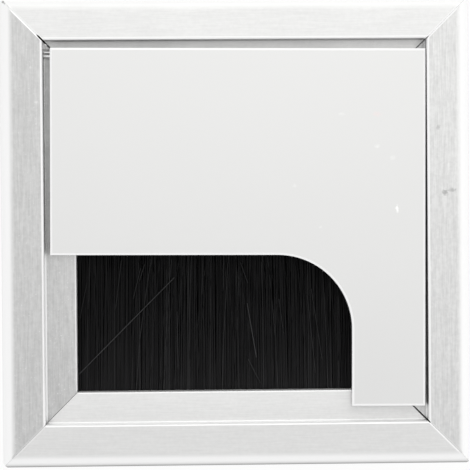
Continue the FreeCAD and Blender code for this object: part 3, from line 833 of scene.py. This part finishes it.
# Strays: where each comes up out of the bed, where it ends and its tone, in millimetres
STRAYS = (
    ((-26.7, -24.0), (-10.6, -7.9), "bare"),
    ((-20.7, -12.7), (-19.7, -4.9), "pale"),
    ((-17.7, -11.4), (-16.4, -6.3), "pale"),
    ((-16.7, -8.6), (-15.7, -5.6), "pale"),
    ((-26.9, -14.7), (-25.7, -8.9), "pale"),
    ((-25.3, -11.4), (-25.1, -3.5), "pale"),
    ((-10.1, -23.0), (-10.2, -13.8), "pale"),
    ((-5.9, -10.6), (-5.6, -3.5), "pale"),
    ((-2.2, -9.5), (-2.1, -3.5), "pale"),
    ((2.0, -8.9), (0.8, -5.4), "pale"),
    ((3.4, -21.6), (1.9, -12.5), "bare"),
    ((4.6, -13.2), (4.4, -5.4), "pale"),
    ((8.0, -16.6), (7.4, -11.8), "pale"),
    ((13.6, -24.2), (12.3, -11.2), "pale"),
    ((14.7, -21.6), (13.0, -10.1), "pale"),
    ((4.0, -26.1), (2.0, -22.1), "pale"),
)
# How a stray rises: shares of its length and how far under its bed line it then lies, in millimetres
STRAY_RISE = ((-0.15, 0.6), (0.0, 0.12), (0.25, 0.0), (0.5, -0.04), (0.75, -0.04), (1.0, 0.0))
# How many diameters the strays' bed line lies above the bed
STRAY_LIFT = 1.1


def make_strays(brush):
    """Few loose bristles that come up out of the bed and lie across it."""
    strands = new_strands("stray_bristles", brush)
    bed = BrushStrip().wire.z + BED_HALF + brush.filament_diameter * STRAY_LIFT
    for (x0, y0), (x1, y1), tone in STRAYS:
        points = [
            ((x0 + (x1 - x0) * part) * MM, (y0 + (y1 - y0) * part) * MM, bed - sink * MM)
            for part, sink in STRAY_RISE
        ]
        add_strand(strands, points, TONES.index(tone))
    return strands


# Tool marks on the ledge

# Each mark: where its crest lies and how long its front and back slopes are, in millimetres
STAKES = ((30.78, 0.20, 0.08), (30.18, 0.26, 0.10))
# Height of a crest beside the front slope's length, and how deep the mark stands in the ledge in millimetres
STAKE_RISE = 0.5
STAKE_SINK = 0.02
# Where a mark's front slope bends: shares of the slope's length and of the crest's height
STAKE_BEND = (0.15, 0.9)
# Length of a mark's sloping ends in millimetres, and the share of its height that is left at their tips
STAKE_END = 0.1
STAKE_END_RISE = 0.3


def stake_section(front, back):
    """Outline of a tool mark: forward or back from its crest, and up from the ledge."""
    rise = front * STAKE_RISE
    return (
        (-front, -STAKE_SINK), (-front, 0.0), (-front * STAKE_BEND[0], rise * STAKE_BEND[1]),
        (0.0, rise), (back, 0.0), (back, -STAKE_SINK),
    )


def make_stakes(metal):
    """Two raised tool marks across the left ledge: low ridges with a long front slope and sloping ends."""
    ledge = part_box("cover_plate")[0].z
    left, right = (-reach for reach in metal.stake_reach)
    end = STAKE_END * MM
    spans = ((left, STAKE_END_RISE), (left + end, 1.0), (right - end, 1.0), (right, STAKE_END_RISE))
    points, faces = [], []
    for crest, front, back in STAKES:
        first, section = len(points), stake_section(front, back)
        count = len(section)
        for x, part in spans:
            points += [(x, (crest + y) * MM, ledge + z * (part if z > 0 else 1.0) * MM) for y, z in section]
        for ring in range(len(spans) - 1):
            for step in range(count):
                a, b = first + count * ring + step, first + count * ring + (step + 1) % count
                faces.append((a, b, b + count, a + count))
        last = first + count * (len(spans) - 1)
        faces.append(tuple(first + step for step in reversed(range(count))))
        faces.append(tuple(last + step for step in range(count)))
    mesh = bpy.data.meshes.new("ledge_stakes")
    mesh.from_pydata(points, [], faces)
    mesh.validate()
    mesh.materials.append(struck_aluminium(metal))
    stakes = bpy.data.objects.new("ledge_stakes", mesh)
    bpy.context.scene.collection.objects.link(stakes)
    return stakes


# Stage

# Heights on the light tent, as the upward part of a direction, between which it gets softer
TENT_ZONE = (0.60, 0.985)


def pale_floor(stage):
    """Matt floor that looks plain white to the camera and in the metal, and keeps its shadow."""
    finish = Finish("Pale floor", Roughness=0.9)
    smudge = finish.effect(handling_smudges(), Size=400.0)
    finish.feed("Base Color", finish.blend(smudge, stage.floor_colour, 0.995, 1.005))
    tree = finish.tree
    path = place(tree, "ShaderNodeLightPath").outputs
    seen = calculate(tree, "MULTIPLY", path["Is Camera Ray"], stage.floor_lift)
    mirrored = calculate(tree, "MULTIPLY", path["Is Glossy Ray"], stage.mirror_lift)
    glow = place(tree, "ShaderNodeEmission", {"Strength": 1.0})
    both = place(tree, "ShaderNodeMixShader")
    tree.links.new(calculate(tree, "MAXIMUM", seen, mirrored), both.inputs[0])
    tree.links.new(finish.shader.outputs[0], both.inputs[1])
    tree.links.new(glow.outputs[0], both.inputs[2])
    tree.links.new(both.outputs[0], tree.nodes["Material Output"].inputs["Surface"])
    return finish.material


def make_floor(stage):
    """Plain pale floor under the grommet."""
    side, level = stage.floor_size / 2, CAD_BOX[0].z
    mesh = bpy.data.meshes.new("floor")
    corners = [(x, y, level) for x, y in ((-side, -side), (side, -side), (side, side), (-side, side))]
    mesh.from_pydata(corners, [], [(0, 1, 2, 3)])
    mesh.materials.append(pale_floor(stage))
    floor = bpy.data.objects.new("floor", mesh)
    bpy.context.scene.collection.objects.link(floor)


def set_tent(scene, stage):
    """White light tent: bright near the floor and softer overhead."""
    scene.world = bpy.data.worlds.new("Light tent")
    scene.world.use_nodes = True
    tree = scene.world.node_tree
    upward = split(tree, place(tree, "ShaderNodeTexCoord").outputs["Generated"])["Z"]
    bright = remap(tree, upward, *TENT_ZONE, stage.tent_side, stage.tent_top)
    back = tree.nodes["Background"]
    back.inputs["Color"].default_value = (1.0, 1.0, 1.0, 1.0)
    tree.links.new(bright, back.inputs["Strength"])


def hang_softbox(stage):
    """Long softbox overhead, which lies from front to back."""
    data = bpy.data.lights.new("softbox", "AREA")
    data.shape = "RECTANGLE"
    data.size, data.size_y = stage.softbox_size
    data.energy = stage.softbox_radiance * math.pi * data.size * data.size_y
    data.color = stage.softbox_tint
    lamp = bpy.data.objects.new("softbox", data)
    lamp.location = stage.softbox_place
    bpy.context.scene.collection.objects.link(lamp)


def set_camera(scene, stage):
    """Camera nearly straight above."""
    data = bpy.data.cameras.new("camera")
    data.sensor_width, data.lens = 36.0, stage.camera_lens
    data.clip_start, data.clip_end = 0.01, 20.0
    camera = bpy.data.objects.new("camera", data)
    camera.location = stage.camera_place
    camera.rotation_euler = stage.camera_turn
    scene.collection.objects.link(camera)
    scene.camera = camera


# Operators, panel and registration


class GROMMET_OT_dress_rails(bpy.types.Operator):
    """Puts drawn, anodised aluminium on the four frame rails"""

    bl_idname = "grommet.dress_rails"
    bl_label = "Dress frame rails"

    def execute(self, context):
        metal = context.scene.grommet_metal
        for number, side in enumerate(RAILS):
            dress((f"frame_rail_{side}",), anodised_rail(side, metal, number))
        return {"FINISHED"}


class GROMMET_OT_make_stakes(bpy.types.Operator):
    """Makes the raised tool marks on the left ledge"""

    bl_idname = "grommet.make_stakes"
    bl_label = "Make ledge stakes"

    def execute(self, context):
        stakes = make_stakes(context.scene.grommet_metal)
        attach(stakes, BODY)
        return {"FINISHED"}


class GROMMET_OT_dress_cover(bpy.types.Operator):
    """Puts satin aluminium on the cover plate"""

    bl_idname = "grommet.dress_cover"
    bl_label = "Dress cover plate"

    def execute(self, context):
        dress(("cover_plate",), satin_cover(context.scene.grommet_metal))
        return {"FINISHED"}


class GROMMET_OT_dress_fixings(bpy.types.Operator):
    """Puts zinc plate on the corner brackets and black oxide on their set screws"""

    bl_idname = "grommet.dress_fixings"
    bl_label = "Dress corner fixings"

    def execute(self, context):
        metal = context.scene.grommet_metal
        dress(BRACKETS, zinc_plate(metal))
        dress(("bracket_set_screws",), blackened_screw(metal))
        return {"FINISHED"}


class GROMMET_OT_dress_strip(bpy.types.Operator):
    """Puts galvanised steel on the brush channel and its core wire"""

    bl_idname = "grommet.dress_strip"
    bl_label = "Dress brush strip"

    def execute(self, context):
        dress(("brush_channel", "brush_core_wire"), galvanised_strip(context.scene.grommet_metal))
        return {"FINISHED"}


class GROMMET_OT_make_bristles(bpy.types.Operator):
    """Makes the bristles in place of the plain brush solid"""

    bl_idname = "grommet.make_bristles"
    bl_label = "Make bristles"

    def execute(self, context):
        brush = context.scene.grommet_brush
        bristles, strays = make_bristles(brush), make_strays(brush)
        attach(bristles, BODY)
        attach(strays, BODY)
        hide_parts("brush_bristles")
        return {"FINISHED"}


class GROMMET_OT_set_stage(bpy.types.Operator):
    """Sets the floor, the light and the camera"""

    bl_idname = "grommet.set_stage"
    bl_label = "Set stage"

    def execute(self, context):
        stage = context.scene.grommet_stage
        make_floor(stage)
        set_tent(context.scene, stage)
        hang_softbox(stage)
        set_camera(context.scene, stage)
        context.scene.view_settings.view_transform = "Standard"
        return {"FINISHED"}


STEPS = (
    GROMMET_OT_dress_rails,
    GROMMET_OT_make_stakes,
    GROMMET_OT_dress_cover,
    GROMMET_OT_dress_fixings,
    GROMMET_OT_dress_strip,
    GROMMET_OT_make_bristles,
    GROMMET_OT_set_stage,
)


class GROMMET_PT_steps(bpy.types.Panel):
    """Lists the steps that dress the grommet"""

    bl_label = "Brush cable grommet"
    bl_idname = "GROMMET_PT_steps"
    bl_space_type = "VIEW_3D"
    bl_region_type = "UI"
    bl_category = "Grommet"

    def draw(self, context):
        for step in STEPS:
            self.layout.operator(step.bl_idname)


GROUPS = {"grommet_metal": GrommetMetal, "grommet_brush": GrommetBrush, "grommet_stage": GrommetStage}
CLASSES = (*GROUPS.values(), *STEPS, GROMMET_PT_steps)


def register():
    """Registers the classes and puts their properties on the scene."""
    for made in CLASSES:
        bpy.utils.register_class(made)
    for name, group in GROUPS.items():
        setattr(bpy.types.Scene, name, PointerProperty(type=group))


def unregister():
    """Takes the properties off the scene and the classes out again."""
    for name in GROUPS:
        delattr(bpy.types.Scene, name)
    for made in reversed(CLASSES):
        bpy.utils.unregister_class(made)


def main():
    """Dresses the grommet step by step."""
    register()
    for step in STEPS:
        family, name = step.bl_idname.split(".")
        getattr(getattr(bpy.ops, family), name)()


if __name__ == "__main__":
    main()
